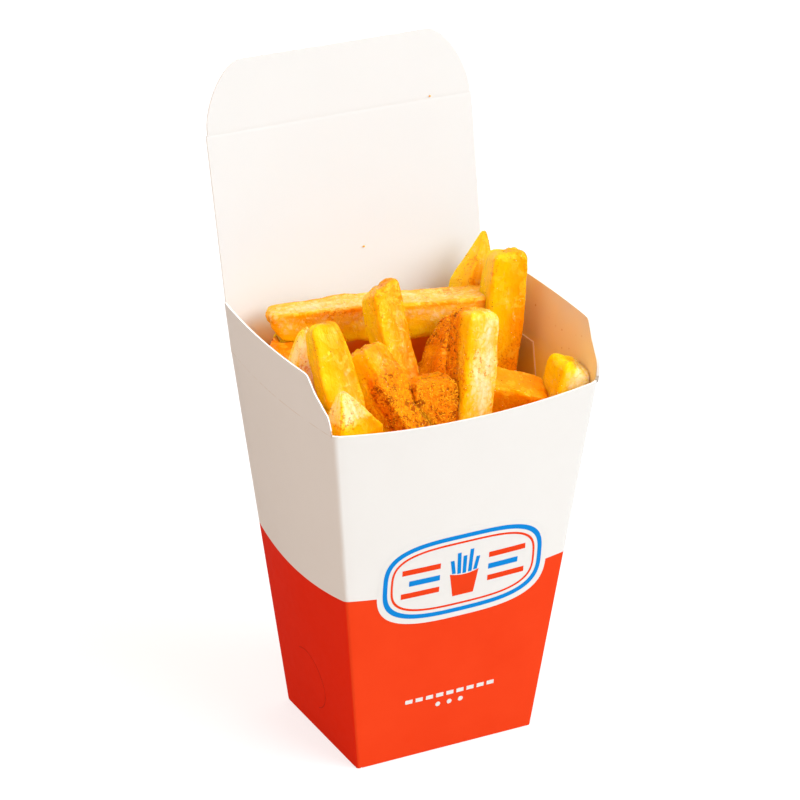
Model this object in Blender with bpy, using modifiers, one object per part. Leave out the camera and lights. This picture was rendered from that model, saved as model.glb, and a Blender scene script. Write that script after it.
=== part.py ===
"""French fries in a tapered paperboard carton whose flip lid stands open.

Metres, +Z up. The origin is the centre of the carton's underside. The printed
front wall faces -Y, and the lid is hinged along the top of the back wall.
"""

import math
import random

import bmesh
import bpy
from mathutils import Matrix, Vector

MM = 0.001

# The carton: a tapered box of folded board, wider at its rim than at its base.
BASE_WIDTH = 62 * MM
BASE_DEPTH = 50 * MM
RIM_WIDTH = 90 * MM
RIM_DEPTH = 72 * MM
RIM_HEIGHT = 122 * MM
BOARD = 0.6 * MM

# How far the filled carton's walls swell out halfway along each wall.
SWELL = {"front": 2.0 * MM, "right": 1.8 * MM, "back": 1.2 * MM, "left": 2.6 * MM}
SWELL_FULL_AT = 0.75 * RIM_HEIGHT

# Creases. A moving panel stands clear of its neighbour by this gap.
CREASE_GAP = 0.4 * MM

# The front wall's rim dips in the middle.
FRONT_DIP = 2.2 * MM

# A closure flap stands on each side wall, with a slanting front edge.
FLAP_TOP = RIM_HEIGHT + 16.5 * MM
FLAP_SHOULDER = RIM_HEIGHT + 5.0 * MM
FLAP_FRONT = -34.6 * MM
FLAP_CORNER = -25.5 * MM
FLAP_CORNER_ROUND = 2.5 * MM
FLAP_BACK = 34.8 * MM

# The lid leans back from upright, and ends in a tuck flap with rounded corners.
LID_TILT = math.radians(12)
LID_LENGTH = 67.2 * MM
LID_WIDTH_AT_HINGE = 89.4 * MM
LID_WIDTH_AT_TUCK = 92.4 * MM
TUCK_LENGTH = 22.0 * MM
TUCK_WIDTH = 90.4 * MM
TUCK_FLAT_TOP = 65.0 * MM
TUCK_STRAIGHT = 2.0 * MM
TUCK_ROUNDNESS = 1.6

# The glued tab inside the right wall.
TAB_TOP = 119 * MM
TAB_FRONT_AT_TOP = 5.2 * MM
TAB_FRONT = -3.0 * MM
TAB_SLANT = 0.41

# The fries keep this clear of the board. Their core is smaller and ends below the rim.
FRY_CLEARANCE = 0.5 * MM
CORE_CLEARANCE = 1.6 * MM
CORE_TOP = 103 * MM
HEAP_LIMIT = 175 * MM

# Fries that show. Ends in mm, then width and thickness in mm, the turn about the length
# in degrees, each end's size as a share of the middle's, how far the tip's cut slants
# across the width in mm, and how far the middle bows out through the thickness in mm.
SHOWN_FRIES = {
    "long_back": ((34, 12.5, 129.8), (-36, 27.5, 132.4), 13, 12.5, 0, 0.90, 0.58, 3, 0.5),
    "leaning_middle": ((-9.5, -15, 110), (-8.5, 7, 147.8), 10.5, 9.5, 8, 0.90, 0.90, 2.5, 0),
    "pointed_back": ((25, 16, 112), (40.6, 30, 148.2), 13, 10, 20, 0.90, 0.12, 1, 0),
    "thick_right": ((29.5, 3, 100), (39.2, 11.5, 149.0), 13.5, 11.5, -6, 0.85, 0.74, 1.2, 0),
    "front_upright": ((2.8, -27.5, 96), (11.5, -19, 146), 12, 11.3, 8, 1.00, 0.88, 0, 0),
    "crusty_slanting": ((-12, -29, 106), (-24.5, -13, 137.5), 13.5, 11.5, 30, 1.15, 0.75, 0, 0),
    "curled_brown": ((4, -9, 108), (20, 4, 132), 14, 11, 10, 0.90, 0.70, 0, 2),
    "crusty_low": ((-3, -26, 98), (-5, -19, 127), 15, 12, -5, 0.90, 0.85, 0, 0),
    "left_yellow": ((-33, -27, 108), (-35, -8, 145), 12, 11, -6, 0.90, 0.72, 0, 0),
    "corner_pointed": ((-30, -26, 98), (-38.2, -28, 132.4), 16.5, 12, 15, 1.00, 0.15, -2, 0),
    "left_pointed": ((-41.7, -6.4, 97.5), (-33.5, 4, 139.5), 12, 9, 10, 0.90, 0.20, 2, 0),
    "right_wedge": ((37.5, -24, 96), (43.2, -26.5, 125.2), 15.5, 13, -8, 0.95, 0.80, -2.5, 0),
    "lying_right": ((8, -9, 115.5), (34.5, -23, 109.5), 18, 13, 10, 0.90, 0.75, 0, 0),
    "under_left": ((-41, 11, 122), (-25, 30, 122), 11, 11, 0, 0.80, 0.90, 0, 0),
    "shaded_left": ((-27, -15, 98), (-25, -4, 131), 11, 10, 15, 0.90, 0.80, 0, 0),
    "corner_low": ((-38, -23, 96), (-41, -21, 124), 9, 9, 0, 0.90, 0.80, 0, 0),
    "prop_left": ((-30, 9, 88), (-36.5, 15, 120), 11, 10, 10, 0.90, 0.85, 0, 0),
    "prop_back": ((-24, 21, 90), (-29, 27, 128.5), 11, 10, -8, 0.90, 0.85, 0, 0),
    "under_middle": ((-26, 14, 108), (18, 6, 110), 11, 11, 10, 0.90, 0.90, 0, 0),
}

# Fries lower in the heap, placed by a seeded draw, fill the gaps between those. Their tips
# stand higher towards the back wall.
LOWER_COLUMNS, LOWER_ROWS = 7, 5
LOWER_SEED = 7
LOWER_LENGTH = (36.0, 48.0)
LOWER_TIP_FRONT = (103.0, 107.0)
LOWER_TIP_BACK = (105.0, 112.0)
LOWER_LEAN = 14.0

# A fry whose tip is smaller than this is pointed: it narrows evenly along its last part.
POINTED = 0.5
POINT_SHARE = 0.4

FRY_RINGS = 4
FRY_CHAMFER = 0.2
FRY_END_INSET = 0.8
FRY_END_DOME = 1.2
FRY_WOBBLE = 0.05


def clear_scene():
    for obj in list(bpy.data.objects):
        bpy.data.objects.remove(obj, do_unlink=True)


def new_collection(name):
    made = bpy.data.collections.new(name)
    bpy.context.scene.collection.children.link(made)
    return made


def material(name, colour, roughness):
    made = bpy.data.materials.new(name)
    made.use_nodes = True
    shader = made.node_tree.nodes["Principled BSDF"]
    shader.inputs["Base Color"].default_value = (*colour, 1.0)
    shader.inputs["Roughness"].default_value = roughness
    shader.inputs["Metallic"].default_value = 0.0
    return made


def add_object(name, data, collection, finish=None):
    obj = bpy.data.objects.new(name, data)
    collection.objects.link(obj)
    if finish:
        data.materials.append(finish)
    return obj


def add_empty(name, collection, parent=None, location=(0, 0, 0), rotation=(0, 0, 0)):
    empty = bpy.data.objects.new(name, None)
    empty.parent = parent
    empty.location = location
    empty.rotation_euler = rotation
    collection.objects.link(empty)
    return empty


# The walls' shape


def half_width(height):
    return (BASE_WIDTH + (RIM_WIDTH - BASE_WIDTH) * height / RIM_HEIGHT) / 2


def half_depth(height):
    return (BASE_DEPTH + (RIM_DEPTH - BASE_DEPTH) * height / RIM_HEIGHT) / 2


def swell(side, height):
    """How far a wall stands out halfway along it. The back wall is straight at its hinge."""
    if side == "back":
        return SWELL[side] * math.sin(math.pi * min(height / RIM_HEIGHT, 1.0))
    return SWELL[side] * math.sin(math.pi / 2 * min(height / SWELL_FULL_AT, 1.0))


def wall_point(side, across, height, inset=0.0):
    """A point of a wall's outer face, or inset inwards from it. Across runs from -1 to 1."""
    wide = half_width(height) - inset
    deep = half_depth(height) - inset
    out = swell(side, height) * (1 - across * across)
    places = {
        "front": (across * wide, -deep - out),
        "right": (wide + out, across * deep),
        "back": (-across * wide, deep + out),
        "left": (-wide - out, -across * deep),
    }
    return Vector((*places[side], height))


def front_rim(across):
    return RIM_HEIGHT - CREASE_GAP / 2 - FRONT_DIP * (1 - across * across)


def add_panel(bm, columns, rows, place):
    """A grid whose points run from 0 to 1 both ways and are moved to place(u, v)."""
    made = bmesh.ops.create_grid(bm, x_segments=columns, y_segments=rows, size=1)
    for vert in made["verts"]:
        u, v = (vert.co.x + 1) / 2, (vert.co.y + 1) / 2
        vert.co = place(u, v)


def panel_mesh(name, panels):
    """One welded mesh of several grids, facing outwards."""
    bm = bmesh.new()
    for columns, rows, place in panels:
        add_panel(bm, columns, rows, place)
    bmesh.ops.remove_doubles(bm, verts=bm.verts, dist=1e-6)
    bmesh.ops.recalc_face_normals(bm, faces=bm.faces)
    mesh = bpy.data.meshes.new(name)
    bm.to_mesh(mesh)
    bm.free()
    return mesh


def thicken(obj, offset=-1.0):
    shell = obj.modifiers.new("Board", "SOLIDIFY")
    shell.thickness = BOARD
    shell.offset = offset
    shell.use_even_offset = True


# The carton body


def wall_panel(side):
    def place(u, v):
        across = 2 * u - 1
        top = front_rim(across) if side == "front" else RIM_HEIGHT - CREASE_GAP / 2
        return wall_point(side, across, v * top)

    return place


def base_panel(u, v):
    return Vector(((u - 0.5) * BASE_WIDTH, (v - 0.5) * BASE_DEPTH, 0.0))


def tab_panel(u, v):
    """The glued tab, its outer face sunk to the middle of the right wall's board."""
    height = BOARD / 2 + v * (TAB_TOP - BOARD / 2)
    front = max(TAB_FRONT, TAB_FRONT_AT_TOP - TAB_SLANT * (TAB_TOP - height))
    inset = BOARD / 2
    deep = half_depth(height) - inset
    y = front + u * (deep - front)
    return wall_point("right", y / deep, height, inset)


def make_carton(collection, helpers, board):
    segments = 8
    panels = [(segments, 6, wall_panel(side)) for side in ("front", "right", "back", "left")]
    panels.append((segments, segments, base_panel))
    body = add_object("carton_body", panel_mesh("carton_body", panels), collection, board)
    thicken(body)

    tab = add_object("tab_shape", panel_mesh("tab_shape", [(4, 8, tab_panel)]), helpers)
    thicken(tab, offset=inward_offset(tab))
    tab.hide_render = True
    tab.display_type = "WIRE"
    join = body.modifiers.new("Glued tab", "BOOLEAN")
    join.operation = "UNION"
    join.solver = "EXACT"
    join.object = tab
    return body


def inward_offset(obj):
    """Solidify's offset that thickens a right-hand panel towards the carton's inside."""
    return -1.0 if obj.data.polygons[0].normal.x > 0 else 1.0


# The side flaps


def flap_top(y):
    """The height of a flap's outline at y: a shoulder, a slanting edge, a round corner, a level top."""
    if y >= FLAP_CORNER + FLAP_CORNER_ROUND:
        return FLAP_TOP
    slope = (FLAP_TOP - FLAP_SHOULDER) / (FLAP_CORNER - FLAP_FRONT)
    slanting = FLAP_SHOULDER + slope * (y - FLAP_FRONT)
    rounding = (y - FLAP_CORNER) / FLAP_CORNER_ROUND
    ease = FLAP_CORNER_ROUND * 0.25 * (1 - abs(rounding)) ** 2 if abs(rounding) < 1 else 0.0
    return min(slanting, FLAP_TOP) - ease


def make_flap(side, collection, board):
    """A closure flap that stands on a side wall, its hinge where the crease bows out most."""
    sign = -1 if side == "left" else 1
    hinge = Vector((sign * (half_width(RIM_HEIGHT) + swell(side, RIM_HEIGHT)), 0, RIM_HEIGHT))
    low = RIM_HEIGHT + CREASE_GAP / 2
    front_columns, columns = 6, 14

    def place(u, v):
        step = u * columns
        if step <= front_columns:
            share = step / front_columns
            y = FLAP_FRONT + share * (FLAP_CORNER + FLAP_CORNER_ROUND - FLAP_FRONT)
        else:
            share = (step - front_columns) / (columns - front_columns)
            start = FLAP_CORNER + FLAP_CORNER_ROUND
            y = start + share * (FLAP_BACK - start)
        height = low + v * (flap_top(y) - low)
        across = y / half_depth(height) * (1 if side == "right" else -1)
        return wall_point(side, across, height) - hinge

    mesh = panel_mesh("side_flap_" + side, [(columns, 3, place)])
    pivot = add_empty("hinge_flap_" + side, collection, location=hinge)
    flap = add_object("side_flap_" + side, mesh, collection, board)
    flap.parent = pivot
    faces_out = mesh.polygons[0].normal.x * sign > 0
    thicken(flap, offset=-1.0 if faces_out else 1.0)
    return flap


# The lid and its tuck flap


def flat_panel(name, outline, collection, finish):
    """A flat piece of board, drawn as a 2D curve and extruded by half its thickness each way."""
    curve = bpy.data.curves.new(name, "CURVE")
    curve.dimensions = "2D"
    curve.fill_mode = "BOTH"
    curve.extrude = BOARD / 2
    spline = curve.splines.new("POLY")
    spline.points.add(len(outline) - 1)
    for point, (x, y) in zip(spline.points, outline):
        point.co = (x, y, 0, 1)
    spline.use_cyclic_u = True
    return add_object(name, curve, collection, finish)


def lid_outline():
    low, high = CREASE_GAP / 2, LID_LENGTH - CREASE_GAP / 2
    near, far = LID_WIDTH_AT_HINGE / 2, LID_WIDTH_AT_TUCK / 2
    return [(-near, low), (near, low), (far, high), (-far, high)]


def tuck_outline():
    """Straight sides, then corners on a superellipse, then a level top."""
    low, half, flat = CREASE_GAP / 2, TUCK_WIDTH / 2, TUCK_FLAT_TOP / 2
    wide, tall = half - flat, TUCK_LENGTH - TUCK_STRAIGHT
    steps = 10
    corner = []
    for step in range(steps + 1):
        angle = math.pi / 2 * step / steps
        x = flat + wide * math.cos(angle) ** (2 / TUCK_ROUNDNESS)
        y = TUCK_STRAIGHT + tall * math.sin(angle) ** (2 / TUCK_ROUNDNESS)
        corner.append((x, y))
    left = [(-x, y) for x, y in reversed(corner)]
    return [(-half, low), (half, low), *corner, *left]


def make_lid(collection, board):
    hinge = (0, half_depth(RIM_HEIGHT), RIM_HEIGHT)
    lid_pivot = add_empty("hinge_lid", collection, location=hinge, rotation=(math.pi / 2 - LID_TILT, 0, 0))
    lid = flat_panel("lid_panel", lid_outline(), collection, board)
    lid.parent = lid_pivot
    lid.location = (0, 0, BOARD / 2)
    tuck_pivot = add_empty("hinge_tuck", collection, lid_pivot, (0, LID_LENGTH, BOARD))
    tuck = flat_panel("tuck_flap", tuck_outline(), collection, board)
    tuck.parent = tuck_pivot
    tuck.location = (0, 0, -BOARD / 2)
    return lid, tuck


# The fries


def inside_mesh(name, bottom, top, clearance):
    """The space inside the walls between two heights, clear of the board, as one closed solid."""
    inset = BOARD + clearance
    segments, rows = 8, 6

    def wall(side):
        def place(u, v):
            return wall_point(side, 2 * u - 1, bottom + v * (top - bottom), inset)

        return place

    bm = bmesh.new()
    for side in ("front", "right", "back", "left"):
        add_panel(bm, segments, rows, wall(side))
    bmesh.ops.remove_doubles(bm, verts=bm.verts, dist=1e-6)
    edges = [edge for edge in bm.edges if edge.is_boundary]
    bmesh.ops.holes_fill(bm, edges=edges, sides=0)
    bmesh.ops.triangulate(bm, faces=[face for face in bm.faces if len(face.verts) > 4])
    bmesh.ops.recalc_face_normals(bm, faces=bm.faces)
    mesh = bpy.data.meshes.new(name)
    bm.to_mesh(mesh)
    bm.free()
    return mesh


def fry_frame(base, tip, turn):
    """Axes of a fry: across its width, across its thickness, along its length."""
    along = (tip - base).normalized()
    guide = Vector((0, 0, 1)) if abs(along.x) > 0.7 else Vector((1, 0, 0))
    across = (guide - along * guide.dot(along)).normalized()
    across = Matrix.Rotation(math.radians(turn), 3, along) @ across
    return across, along.cross(across), along


def fry_size(share, base_size, tip_size):
    """A fry's size at a share of its length, against its widest."""
    blunt = max(tip_size, 0.9) if tip_size < POINTED else tip_size
    ends = base_size + (blunt - base_size) * share
    size = ends + (1 - ends) * math.sin(math.pi * share) ** 0.5 * 0.8
    if tip_size < POINTED:
        size = min(size, tip_size + (1 - tip_size) * (1 - share) / POINT_SHARE)
    return size


def fry_stations(length, base_size, tip_size):
    """Where a fry's rings stand along its length in mm, and each one's size."""
    stations = []
    for ring in range(FRY_RINGS + 1):
        share = ring / FRY_RINGS
        size = fry_size(share, base_size, tip_size)
        stations.append((FRY_END_DOME + share * (length - 2 * FRY_END_DOME), size))
    first, last = stations[0][1], stations[-1][1]
    return [(0.0, first * FRY_END_INSET), *stations, (length, last * FRY_END_INSET)]


def fry_mesh(name, base, tip, width, thickness, turn, base_size, tip_size, slant, bow, draw):
    """A cut potato stick: a chamfered bar whose rings wander a little, with low domed ends."""
    base, tip = Vector(base), Vector(tip)
    across, through, along = fry_frame(base, tip, turn)
    wide, thick, length = width / 2, thickness / 2, (tip - base).length
    flat = 1 - FRY_CHAMFER
    quarter = [(1, -flat), (1, flat)]
    section = []
    for _ in range(4):
        section += quarter
        quarter = [(-b, a) for a, b in quarter]
    bm = bmesh.new()
    rings = []
    for height, size in fry_stations(length, base_size, tip_size):
        share = height / length
        centre = base + along * height + through * bow * math.sin(math.pi * share)
        centre += across * wide * draw.uniform(-1, 1) * FRY_WOBBLE
        centre += through * thick * draw.uniform(-1, 1) * FRY_WOBBLE
        grow = size * (1 + draw.uniform(-1, 1) * FRY_WOBBLE)
        ring = []
        for a, b in section:
            lift = slant * a * grow * share**4
            place = centre + across * a * wide * grow + through * b * thick * grow + along * lift
            ring.append(bm.verts.new(place * MM))
        rings.append(ring)
    for lower, upper in zip(rings, rings[1:]):
        for i in range(len(section)):
            j = (i + 1) % len(section)
            bm.faces.new((lower[i], lower[j], upper[j], upper[i]))
    bm.faces.new(list(reversed(rings[0])))
    bm.faces.new(rings[-1])
    bmesh.ops.recalc_face_normals(bm, faces=bm.faces)
    mesh = bpy.data.meshes.new(name)
    bm.to_mesh(mesh)
    bm.free()
    return mesh


def lower_fries(draw):
    """Rows like SHOWN_FRIES for the seeded fries lower in the heap, spread over the carton."""
    rows = {}
    for number in range(LOWER_COLUMNS * LOWER_ROWS):
        column, row = number % LOWER_COLUMNS, number // LOWER_COLUMNS
        x = -37 + 74 * (column + draw.uniform(0.25, 0.75)) / LOWER_COLUMNS
        y = -29 + 58 * (row + draw.uniform(0.25, 0.75)) / LOWER_ROWS
        depth = min(row / 3, 1.0)
        lowest, highest = [
            front + (back - front) * depth for front, back in zip(LOWER_TIP_FRONT, LOWER_TIP_BACK)
        ]
        z = draw.uniform(lowest, highest)
        length = draw.uniform(*LOWER_LENGTH)
        lean = [draw.uniform(-LOWER_LEAN, LOWER_LEAN) for _ in range(2)]
        base = (0.8 * x + lean[0], 0.8 * y + lean[1], z - length)
        sizes = draw.uniform(10, 12.5), draw.uniform(9.5, 11.5)
        turn, tip_size = draw.uniform(0, 90), draw.uniform(0.6, 0.95)
        rows[f"lower_{number}"] = (base, (x, y, z), *sizes, turn, 0.9, tip_size, 0, 0)
    return rows


def keep_outer_shell(mesh):
    """Drops loose scraps and the shells of sealed hollows: only the largest connected piece stays."""
    bm = bmesh.new()
    bm.from_mesh(mesh)
    left, pieces = set(bm.verts), []
    while left:
        start = left.pop()
        found, edge_of = {start}, [start]
        while edge_of:
            for edge in edge_of.pop().link_edges:
                for vert in edge.verts:
                    if vert not in found:
                        found.add(vert)
                        edge_of.append(vert)
        left -= found
        pieces.append(found)
    largest = max(pieces, key=len)
    scraps = [vert for piece in pieces if piece is not largest for vert in piece]
    bmesh.ops.delete(bm, geom=scraps, context="VERTS")
    bm.to_mesh(mesh)
    bm.free()


def applied(obj):
    """The object's evaluated mesh, with its modifiers applied."""
    graph = bpy.context.evaluated_depsgraph_get()
    return bpy.data.meshes.new_from_object(obj.evaluated_get(graph), depsgraph=graph)


def make_fries(collection, helpers, finish):
    """The core and every fry joined into one solid, then trimmed to the space inside the board."""
    draw = random.Random(LOWER_SEED)
    bits = new_collection("fry_bits")
    for name, row in {**SHOWN_FRIES, **lower_fries(draw)}.items():
        add_object("bit_" + name, fry_mesh(name, *row, draw), bits)
    core = inside_mesh("fries_core", BOARD + CORE_CLEARANCE, CORE_TOP, CORE_CLEARANCE)
    heap = add_object("fries", core, collection, finish)
    join = heap.modifiers.new("Join", "BOOLEAN")
    join.operation = "UNION"
    join.solver = "MANIFOLD"
    join.operand_type = "COLLECTION"
    join.collection = bits
    inside = inside_mesh("inside_space", BOARD + FRY_CLEARANCE, HEAP_LIMIT, FRY_CLEARANCE)
    space = add_object("inside_space", inside, helpers)
    trim = heap.modifiers.new("Trim", "BOOLEAN")
    trim.operation = "INTERSECT"
    trim.solver = "MANIFOLD"
    trim.object = space
    bpy.context.view_layer.update()
    mesh = applied(heap)
    heap.modifiers.clear()
    heap.data = mesh
    keep_outer_shell(mesh)
    for obj in list(bits.objects) + [space]:
        bpy.data.objects.remove(obj, do_unlink=True)
    bpy.data.collections.remove(bits)
    return heap


def main():
    clear_scene()
    collection = new_collection("french_fries_carton")
    helpers = new_collection("helpers")
    board = material("board", (0.93, 0.92, 0.90), 0.55)
    fried = material("fried_potato", (0.90, 0.52, 0.08), 0.45)
    make_carton(collection, helpers, board)
    for side in ("left", "right"):
        make_flap(side, collection, board)
    make_lid(collection, board)
    make_fries(collection, helpers, fried)


main()
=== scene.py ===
"""Looks of the french fries in their open paperboard carton, built around the fixed frame."""

import math
import random

import bmesh
import bpy
import numpy as np
from mathutils import Matrix, Vector, noise


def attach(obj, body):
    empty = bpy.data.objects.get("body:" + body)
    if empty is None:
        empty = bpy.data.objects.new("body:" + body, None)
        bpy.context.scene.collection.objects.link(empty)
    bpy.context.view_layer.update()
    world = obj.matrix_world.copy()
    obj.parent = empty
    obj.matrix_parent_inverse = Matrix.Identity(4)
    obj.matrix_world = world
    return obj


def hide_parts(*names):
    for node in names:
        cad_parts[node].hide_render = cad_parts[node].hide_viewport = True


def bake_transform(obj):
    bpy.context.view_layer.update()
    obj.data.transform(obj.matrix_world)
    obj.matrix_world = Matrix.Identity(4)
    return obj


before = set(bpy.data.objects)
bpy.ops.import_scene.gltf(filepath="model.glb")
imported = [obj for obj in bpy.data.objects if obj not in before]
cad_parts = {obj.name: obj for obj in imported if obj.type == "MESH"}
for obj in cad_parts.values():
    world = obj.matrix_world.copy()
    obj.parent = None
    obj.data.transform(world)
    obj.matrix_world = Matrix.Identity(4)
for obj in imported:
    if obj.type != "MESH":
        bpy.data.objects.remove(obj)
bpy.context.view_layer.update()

MM = 0.001

# Sizes in mm, as in the part
BASE_WIDTH, BASE_DEPTH = 62.0, 50.0
RIM_WIDTH, RIM_DEPTH, RIM_HEIGHT = 90.0, 72.0, 122.0
BOARD = 0.6
SWELL = {"front": 2.0, "right": 1.8, "back": 1.2, "left": 2.6}
SWELL_FULL_AT = 0.75 * RIM_HEIGHT
FRONT_DIP = 2.2
CORNER_ROUND = 1.3
LID_TILT = math.radians(12)
LID_LENGTH = 67.2
LID_HALF_AT_HINGE, LID_HALF_AT_TUCK = 44.75, 45.95
TUCK_LENGTH, TUCK_HALF, TUCK_FLAT_HALF = 22.0, 45.45, 32.5
TUCK_STRAIGHT, TUCK_ROUNDNESS = 2.0, 1.6

# The board is one sheet across each crease: a panel's piece starts this far before it.
CREASE_LEAD = 0.6

# Outline of a side flap's top: y, then height, front to back
FLAP_OUTLINE = [
    (-35.6, 122.6), (-35.0, 124.0), (-34.6, 126.6), (-33.9, 128.4), (-32.2, 129.9),
    (-28.1, 133.8), (-26.0, 136.9), (-25.2, 138.0), (-24.2, 138.6), (-22.5, 138.7), (34.9, 138.6),
]

# How much further forward the right side flap's front edge stands
FORWARD = 0.9

# Printed colour field: its upper edge on the front and side walls
FIELD_EDGE_AT_CORNER, FIELD_EDGE_SAG = 63.4, 2.4


# Small helpers


def clamped(value):
    return min(max(value, 0.0), 1.0)


def new_mesh(name, points, faces):
    mesh = bpy.data.meshes.new(name)
    mesh.from_pydata(points, [], faces)
    mesh.update()
    return mesh


def smooth(mesh, angle=35.0):
    mesh.shade_smooth()
    mesh.set_sharp_from_angle(angle=math.radians(angle))


def add_piece(name, mesh, materials, body=None):
    obj = bpy.data.objects.new(name, mesh)
    bpy.context.scene.collection.objects.link(obj)
    for material in materials:
        mesh.materials.append(material)
    if body:
        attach(obj, body)
    return obj


def fix_normals(mesh):
    bm = bmesh.new()
    bm.from_mesh(mesh)
    bmesh.ops.recalc_face_normals(bm, faces=bm.faces)
    bm.to_mesh(mesh)
    bm.free()


def slab(name, columns, rows, place, loop=False):
    """A closed sheet of board: place(u, v, k) gives a point in mm, k=0 outside and k=1 inside.

    Its outer face has material 0, its inner face 1 and its cut edges 2.
    """
    across = columns if loop else columns + 1
    points, index = [], {}
    for k in (0, 1):
        for j in range(rows + 1):
            for i in range(across):
                index[i, j, k] = len(points)
                points.append(Vector(place(i / columns, j / rows, k)) * MM)
    faces, kinds = [], []

    def quad(a, b, c, d, kind):
        faces.append((index[a], index[b], index[c], index[d]))
        kinds.append(kind)

    for i in range(columns):
        n = (i + 1) % across
        for j in range(rows):
            quad((i, j, 0), (n, j, 0), (n, j + 1, 0), (i, j + 1, 0), 0)
            quad((n, j, 1), (i, j, 1), (i, j + 1, 1), (n, j + 1, 1), 1)
        quad((i, 0, 1), (n, 0, 1), (n, 0, 0), (i, 0, 0), 2)
        quad((i, rows, 0), (n, rows, 0), (n, rows, 1), (i, rows, 1), 2)
    if not loop:
        for j in range(rows):
            quad((0, j, 0), (0, j + 1, 0), (0, j + 1, 1), (0, j, 1), 2)
            quad((columns, j, 1), (columns, j + 1, 1), (columns, j + 1, 0), (columns, j, 0), 2)
    mesh = new_mesh(name, points, faces)
    mesh.polygons.foreach_set("material_index", kinds)
    mesh.update()
    fix_normals(mesh)
    smooth(mesh)
    rest = mesh.attributes.new("rest", "FLOAT_VECTOR", "POINT")
    rest.data.foreach_set("vector", [c for vert in mesh.vertices for c in vert.co])
    return mesh


def steps_through(stops, counts):
    """Even steps between given stops, as one list from the first stop to the last."""
    values = [stops[0]]
    for start, end, count in zip(stops, stops[1:], counts):
        values += [start + (end - start) * (n + 1) / count for n in range(count)]
    return values


def looked_up(values, share):
    """Reads an evenly indexed list at a share from 0 to 1."""
    place = share * (len(values) - 1)
    low = min(int(place + 1e-9), len(values) - 2)
    return values[low] + (values[low + 1] - values[low]) * (place - low)


# The walls' shape, in mm


def half_width(height):
    return (BASE_WIDTH + (RIM_WIDTH - BASE_WIDTH) * height / RIM_HEIGHT) / 2


def half_depth(height):
    return (BASE_DEPTH + (RIM_DEPTH - BASE_DEPTH) * height / RIM_HEIGHT) / 2


def swell(side, height):
    if side == "back":
        return SWELL[side] * math.sin(math.pi * clamped(height / RIM_HEIGHT))
    return SWELL[side] * math.sin(math.pi / 2 * clamped(height / SWELL_FULL_AT))


def wall_point(side, across, height, inset=0.0):
    wide = half_width(height) - inset
    deep = half_depth(height) - inset
    out = swell(side, height) * (1 - across * across)
    places = {
        "front": (across * wide, -deep - out),
        "right": (wide + out, across * deep),
        "back": (-across * wide, deep + out),
        "left": (-wide - out, -across * deep),
    }
    return Vector((*places[side], height))


def front_rim(across):
    return RIM_HEIGHT + 0.4 - (FRONT_DIP + 0.4) * (1 - abs(across) ** 2.2)


# Materials


class Nodes:
    """A node tree, built with short calls."""

    def __init__(self, tree):
        self.tree = tree

    def add(self, kind, inputs=None, **settings):
        """A new node. Each input is a plain value or another node's output."""
        node = self.tree.nodes.new(kind)
        for key, value in settings.items():
            setattr(node, key, value)
        for key, value in (inputs or {}).items():
            self.link(value, node.inputs[key])
        return node

    def link(self, value, socket):
        if isinstance(value, bpy.types.NodeSocket):
            self.tree.links.new(value, socket)
        elif isinstance(value, (tuple, list)) and len(value) == 3 and socket.type == "RGBA":
            socket.default_value = (*value, 1.0)
        else:
            socket.default_value = value

    def place(self):
        return self.add("ShaderNodeTexCoord").outputs["Object"]

    def attribute(self, name):
        return self.add("ShaderNodeAttribute", attribute_name=name).outputs["Vector"]

    def rest_place(self):
        """Where the point of a sheet lies with the carton at rest, so the paint moves with its folds."""
        return self.attribute("rest")

    def parts(self, vector):
        return self.add("ShaderNodeSeparateXYZ", {0: vector}).outputs

    def maths(self, operation, a, b=0.0, c=0.0, clamp=False):
        return self.add("ShaderNodeMath", {0: a, 1: b, 2: c}, operation=operation, use_clamp=clamp).outputs[0]

    def times(self, a, b, plus=None):
        """a * b, or a * b + plus."""
        if plus is None:
            return self.maths("MULTIPLY", a, b)
        return self.maths("MULTIPLY_ADD", a, b, plus)

    def noise(self, vector, scale, detail=3.0, roughness=0.55, distortion=0.0):
        inputs = {"Vector": vector, "Scale": scale, "Detail": detail, "Roughness": roughness}
        return self.add("ShaderNodeTexNoise", {**inputs, "Distortion": distortion}).outputs["Fac"]

    def cells(self, vector, scale, feature="F1"):
        inputs = {"Vector": vector, "Scale": scale}
        return self.add("ShaderNodeTexVoronoi", inputs, feature=feature).outputs["Distance"]

    def pushed(self, vector, amount):
        """The vector, pushed unevenly by up to a few millimetres."""
        inputs = {0: amount, 1: (0.004, 0.003, 0.005), 2: vector}
        return self.add("ShaderNodeVectorMath", inputs, operation="MULTIPLY_ADD").outputs[0]

    def ramp(self, value, low, high, smooth_step=True):
        """0 at low and 1 at high, where high may also be the smaller of the two."""
        inputs = {"Value": value, "From Min": low, "From Max": high}
        kind = "SMOOTHSTEP" if smooth_step else "LINEAR"
        return self.add("ShaderNodeMapRange", inputs, interpolation_type=kind, clamp=True).outputs["Result"]

    def mix(self, share, a, b):
        return self.add("ShaderNodeMix", {0: share, 6: a, 7: b}, data_type="RGBA").outputs[2]


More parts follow.
